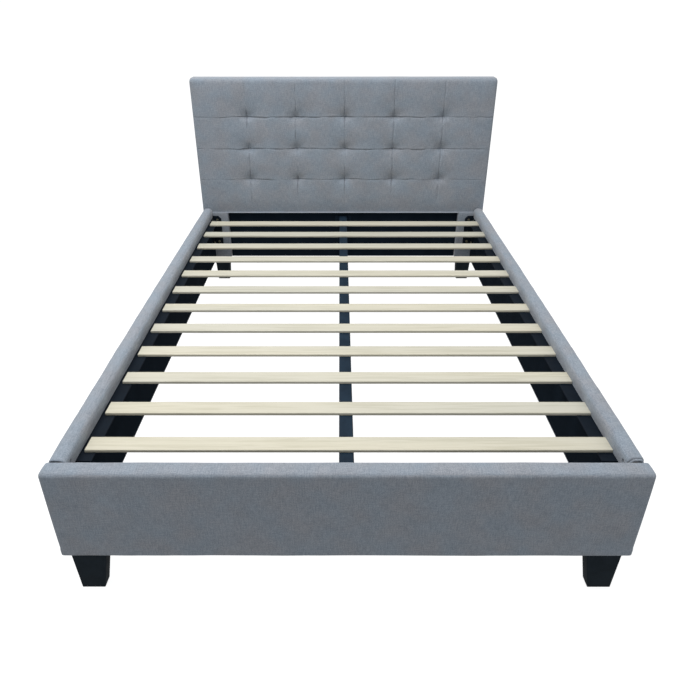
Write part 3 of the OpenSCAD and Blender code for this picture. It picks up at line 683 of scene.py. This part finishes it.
def rail(side):
    """A padded side rail: D-shaped top, hem at the slats' level, folded ends."""
    sign = 1 if side == "right" else -1
    x0, x1, z0, z1 = R_LOW.x, R_HIGH.x, R_LOW.z, R_HIGH.z
    eyelet = [(x0, HEM + PIT_UP + d * MM) for d in (6, 4, 3, 2, 1, 0, -1, -2, -3, -4, -6)]
    corners = np.concatenate([
        [(x0, z0 + 1 * MM), (x0 + 1 * MM, z0)], arc((x1 - 4 * MM, z0 + 4 * MM), 4 * MM, -90, 0, 5),
        arc((x1 - ROUND, z1 - ROUND), ROUND, 0, 90, 22),
        arc((x0 + ROUND, z1 - ROUND), ROUND, 90, 180, 18),
        eyelet, [(x0, HEM + 1.5 * MM), (x0 + 0.6 * MM, HEM), (x0 + FOLD, HEM), (x0 + FOLD, z0 + FOLD),
                 (x0, z0 + FOLD)]])
    outline = fill_between(corners, 9 * MM)
    normal = outline_normals(outline)
    centre, length = (x0 + x1) / 2, R_HIGH.y - R_LOW.y
    near_foot = [R_LOW.y + d * MM for d in np.arange(11, 52, 1.1)]
    foot_end = [(R_LOW.y + d * MM, inset * MM) for d, inset in FOOT_END[side]]
    along = foot_end + end_profile(foot_end[-1][0] + 1 * MM, R_HIGH.y - HEAD_GAP, 0.0, 8 * MM, 11 * MM,
                                   near_foot, steps=6)[5:]
    low_bow, bow = BOW[side]
    points = []
    for y, inset in along:
        out = low_bow + bow * math.sin(math.pi * (y - R_LOW.y) / length)
        sink = SINK[side] * math.exp(-((y - R_LOW.y) / (45 * MM)) ** 2)
        shrink = 1 - inset / (0.5 * (x1 - x0))
        for (x, z), (nx, nz) in zip(outline, normal):
            lined = x < x0 + FOLD + 0.1 * MM and z < HEM + 1 * MM
            soft = 0.0 if lined else rail_softness(side, x, y, z)
            above = max(0.0, (z - HEM) / (z1 - HEM))
            px = centre + (x - centre) * shrink + out * max(0.0, (x - centre) / (x1 - centre))
            pz = z - inset * above - sink * above ** 2
            points.append((sign * (px + nx * soft), y, pz + nz * soft))
    made = piece("rail_padding_" + side, points, ring_faces(len(along), len(outline)), FABRIC,
                 smooth=45)
    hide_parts("rail_cover_" + side, "rail_foam_" + side)


for side in ("left", "right"):
    rail(side)

F_LOW, F_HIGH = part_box("footboard_cover")


def footboard():
    """The padded footboard: soft upper edges, mitred corners, its back recessed for the lining."""
    y0, y1, z0, z1 = F_LOW.y, F_HIGH.y, F_LOW.z, F_HIGH.z
    r, r_back = 10 * MM, 4 * MM
    corners = np.concatenate([
        arc((y0 + 4 * MM, z0 + 4 * MM), 4 * MM, 180, 270, 5), [(y1 - 3 * MM, z0), (y1, z0 + 1 * MM)],
        [(y1, z0 + FOLD), (y1 - FOLD, z0 + FOLD), (y1 - FOLD, HEM), (y1 - 0.5 * MM, HEM),
         (y1, HEM + 1.5 * MM)],
        arc((y1 - r_back, z1 - r_back), r_back, 0, 90, 6), arc((y0 + r, z1 - r), r, 90, 180, 8)])
    outline = fill_between(corners, 8 * MM)
    normal = outline_normals(outline)
    end = 8 * MM
    along = end_profile(F_LOW.x, F_HIGH.x, end, end, 9 * MM, steps=7)
    middle = (y0 + y1) / 2
    points = []
    for x, inset in along:
        for (y, z), (ny, nz) in zip(outline, normal):
            recess = y > y1 - 2.5 * MM and z0 + 1.5 * MM < z < HEM + 0.5 * MM
            py = y1 if recess and abs(x) > R_LOW.x else y
            soft = 0.0
            if not recess:
                soft = (0.9 * wobble(x, y * 2, z, 0.20, 6) + 0.35 * wobble(x, y, z, 0.05, 8)) * MM
                crown = math.sin(math.pi * min(1, max(0, (z - z0) / (z1 - z0))))
                if y < y0 + 1 * MM:
                    soft += 1.2 * MM * crown
                if z > z1 - r:
                    soft += 1.8 * MM * math.sin(math.pi * (y - y0) / (y1 - y0))
            py, pz = py - ny * inset, z - nz * inset
            if z < z0 + 20 * MM:
                py, pz = y + (middle - y) * min(0.5, inset / (y1 - y0)), z
            points.append((x, py + ny * soft, pz + nz * soft))
    made = piece("footboard_padding", points, ring_faces(len(along), len(outline)), FABRIC,
                 smooth=45)
    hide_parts("footboard_cover", "footboard_foam")


footboard()


# ---------------------------------------------------------------- linings


def lining(name, node, axis, slack):
    """A stapled sheet of lining over a CAD lining's place, slightly loose between its edges."""
    low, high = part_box(node)
    others = [a for a in (0, 1, 2) if a != axis]
    u0, u1 = low[others[0]] + 0.3 * MM, high[others[0]] - 0.3 * MM
    v0, v1 = low[others[1]] + 0.3 * MM, high[others[1]] - 0.3 * MM
    middle, skin = (low[axis] + high[axis]) / 2, 0.35 * MM
    nu, nv = max(3, int((u1 - u0) / (12 * MM))), max(3, int((v1 - v0) / (12 * MM)))
    points = []
    for side in (-1, 1):
        for v in np.linspace(v0, v1, nv):
            for u in np.linspace(u0, u1, nu):
                edge = min(1.0, min(u - u0, u1 - u, v - v0, v1 - v) / (30 * MM))
                waves = 0.6 * wobble(u, v, axis, 0.14, 4) + 0.4 * wobble(u * 3, v, axis, 0.09, 6)
                loose = slack * edge * waves
                p = [0.0, 0.0, 0.0]
                p[others[0]], p[others[1]] = u, v
                p[axis] = middle + side * skin / 2 + loose
                points.append(tuple(p))
    faces, half = [], nu * nv
    for j in range(nv - 1):
        for i in range(nu - 1):
            quad = (j * nu + i, j * nu + i + 1, (j + 1) * nu + i + 1, (j + 1) * nu + i)
            faces += [quad, tuple(half + q for q in quad[::-1])]
    edge = ([i for i in range(nu)] + [j * nu + nu - 1 for j in range(1, nv)]
            + [(nv - 1) * nu + i for i in range(nu - 2, -1, -1)] + [j * nu for j in range(nv - 2, 0, -1)])
    for a, b in zip(edge, edge[1:] + edge[:1]):
        faces.append((a, b, half + b, half + a))
    made = piece(name, points, faces, LINING)
    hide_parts(node)


lining("headboard_back_sheet", "headboard_back_lining", 1, 0.9 * MM)
lining("footboard_lining_sheet", "footboard_lining", 1, 0.3 * MM)
for side in ("left", "right"):
    lining("rail_lining_sheet_" + side, "rail_lining_" + side, 0, 0.3 * MM)


# ---------------------------------------------------------------- feet


def foot(node):
    """A tapered moulded foot with rounded edges and a hollow sole."""
    low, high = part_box(node)
    co = np.array([v.co for v in nodes[node].data.vertices], float)
    bottom, top = co[co[:, 2] < low.z + 1e-4], co[co[:, 2] > high.z - 1e-4]
    corners = []
    for ring in (bottom, top):
        a, b = ring.min(0), ring.max(0)
        corners += [(a[0], a[1], a[2]), (b[0], a[1], a[2]), (b[0], b[1], a[2]), (a[0], b[1], a[2])]
    mesh = bpy.data.meshes.new(node + "_moulding")
    mesh.from_pydata(corners, [], [(3, 2, 1, 0), (4, 5, 6, 7), (0, 1, 5, 4), (1, 2, 6, 5), (2, 3, 7, 6),
                                   (3, 0, 4, 7)])
    work = bmesh.new()
    work.from_mesh(mesh)
    bmesh.ops.recalc_face_normals(work, faces=work.faces)
    bmesh.ops.bevel(work, geom=list(work.edges), offset=2.2 * MM, segments=4, profile=0.5,
                    affect="EDGES", clamp_overlap=True)
    sole = min(work.faces, key=lambda f: f.calc_center_median().z)
    bmesh.ops.inset_region(work, faces=[sole], thickness=3 * MM)
    bmesh.ops.translate(work, verts=list(sole.verts), vec=(0, 0, 4 * MM))
    work.to_mesh(mesh)
    work.free()
    points, faces = [tuple(v.co) for v in mesh.vertices], [tuple(p.vertices) for p in mesh.polygons]
    made = piece(node + "_moulding", points, faces, PLASTIC, smooth=35)
    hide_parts(node)


for end in ("headboard", "footboard"):
    for side in ("left", "right"):
        foot(f"{end}_foot_{side}")


# ---------------------------------------------------------------- CAD nodes that stay

# The ledges, their screws and the brackets take the darkened powder coat, which is painted shade.
KEPT = {
    "slat_0": SLAT, "slat_1": SLAT, "slat_ledge": SHADED_STEEL, "ledge_screws": SHADED_STEEL, "bracket_head": SHADED_STEEL,
    "bracket_foot": SHADED_STEEL, "bracket_bolts": ZINC, "foot_bolts": ZINC, "centre_rail": STEEL,
    "centre_hanger": STEEL, "centre_leg": STEEL, "hanger_screws": STEEL, "leg_screws": STEEL,
    "levelling_glide": PLASTIC, "headboard_board": PLY, "footboard_board": PLY, "rail_board": PLY,
    "headboard_top_batten": PINE_X, "headboard_bottom_batten": PINE_X, "headboard_post": PINE_Z,
    "headboard_leg_block": PINE_Z, "headboard_cross_panel": LINING,
}
BEVELS = {"slat_ledge": 0.5, "centre_rail": 0.3, "bracket_head": 0.6, "bracket_foot": 0.6,
          "centre_hanger": 0.5, "headboard_cross_panel": 1.5, "bracket_bolts": 0.5, "slat_0": 0.4,
          "slat_1": 0.4, "levelling_glide": 0.5}


def first_match(table, name):
    """The entry whose key begins the node's name."""
    return next((table[k] for k in table if name.startswith(k)), None)


for name, node in nodes.items():
    material = first_match(KEPT, name)
    if node.hide_render or material is None:
        continue
    node.data.materials.clear()
    node.data.materials.append(material)
    if material is LINING and "weave" not in node.data.uv_layers:
        weave_uv(node.data)
    size = first_match(BEVELS, name)
    if size:
        weld = node.modifiers.new("weld", "WELD")
        weld.merge_threshold = 1e-5
        bevel = node.modifiers.new("edges", "BEVEL")
        bevel.width = size * MM
        bevel.segments = 2
        bevel.limit_method = "ANGLE"
        bevel.angle_limit = math.radians(40)


# ---------------------------------------------------------------- stage, light, camera


def stage_bowl(radius=7.0, rise=3.0, wall=6.0, around=96):
    """A pale round floor that curves up into a plain backdrop."""
    rings = [(r, 0.0) for r in (0.5, 2.0, 4.0, radius)]
    rings += [(radius + rise * math.sin(a), rise * (1 - math.cos(a)))
              for a in np.radians(np.linspace(9, 90, 10))]
    rings.append((radius + rise, rise + wall))
    points = [(0.0, 0.0, 0.0)]
    for r, z in rings:
        points += [(r * math.cos(a), r * math.sin(a), z)
                   for a in np.linspace(0, 2 * math.pi, around, endpoint=False)]
    faces = [(0, 1 + i, 1 + (i + 1) % around) for i in range(around)]
    for k in range(len(rings) - 1):
        for i in range(around):
            j = (i + 1) % around
            faces.append((1 + k * around + i, 1 + (k + 1) * around + i,
                          1 + (k + 1) * around + j, 1 + k * around + j))
    mesh = bpy.data.meshes.new("studio_floor")
    mesh.from_pydata(points, [], faces)
    mesh.polygons.foreach_set("use_smooth", [True] * len(mesh.polygons))
    g = Graph("studio_floor", Roughness=0.9, Specular_IOR_Level=0.0, Emission_Strength=0.90,
              Emission_Color=rgb(1, 1, 1))
    cloud = g.noise(g.place(), 0.8, 2.0)
    g.finish(Base_Color=g.mix(cloud, rgb(0.25, 0.25, 0.25), rgb(0.27, 0.27, 0.27)))
    mesh.materials.append(g.material)
    made = bpy.data.objects.new("studio_floor", mesh)
    bpy.context.scene.collection.objects.link(made)
    made.location.z = -0.2 * MM
    made.visible_diffuse = False
    made.visible_glossy = False
    made.visible_shadow = False


stage_bowl()


def area_light(name, place, target, size, power, colour):
    """A rectangular lamp aimed at a target."""
    lamp = bpy.data.lights.new(name, "AREA")
    lamp.shape = "RECTANGLE"
    lamp.size, lamp.size_y = size
    lamp.energy = power
    lamp.color = colour
    made = bpy.data.objects.new(name, lamp)
    bpy.context.scene.collection.objects.link(made)
    made.location = place
    made.rotation_euler = (Vector(target) - Vector(place)).to_track_quat("-Z", "Y").to_euler()


area_light("overhead", (-0.6, -0.15, 2.9), (-0.2, -0.1, 0.3), (2.2, 2.2), 58, (0.97, 0.985, 1.0))

SKY, GROUND = 0.70, 0.25


def studio_world():
    """Even light from all round, weaker from below the horizon."""
    world = bpy.data.worlds.new("studio")
    world.use_nodes = True
    bpy.context.scene.world = world
    tree = world.node_tree
    back = tree.nodes["Background"]
    back.inputs[0].default_value = rgb(0.97, 0.985, 1.0)
    place = tree.nodes.new("ShaderNodeTexCoord")
    split = tree.nodes.new("ShaderNodeSeparateXYZ")
    ramp = tree.nodes.new("ShaderNodeMapRange")
    for key, value in {1: -0.15, 2: 0.15, 3: GROUND, 4: SKY}.items():
        ramp.inputs[key].default_value = value
    tree.links.new(place.outputs["Generated"], split.inputs[0])
    tree.links.new(split.outputs[2], ramp.inputs[0])
    tree.links.new(ramp.outputs[0], back.inputs[1])


studio_world()

camera = bpy.data.objects.new("camera", bpy.data.cameras.new("camera"))
bpy.context.scene.collection.objects.link(camera)
camera.location = (-0.017, -2.0868, 1.4001)
camera.rotation_euler = (math.pi / 2 - 0.4927, 0.0006, 0.0009)
camera.data.lens = 31.06
camera.data.shift_x, camera.data.shift_y = 0.0155, -0.0491
bpy.context.scene.camera = camera
bpy.context.scene.view_settings.view_transform = "Standard"
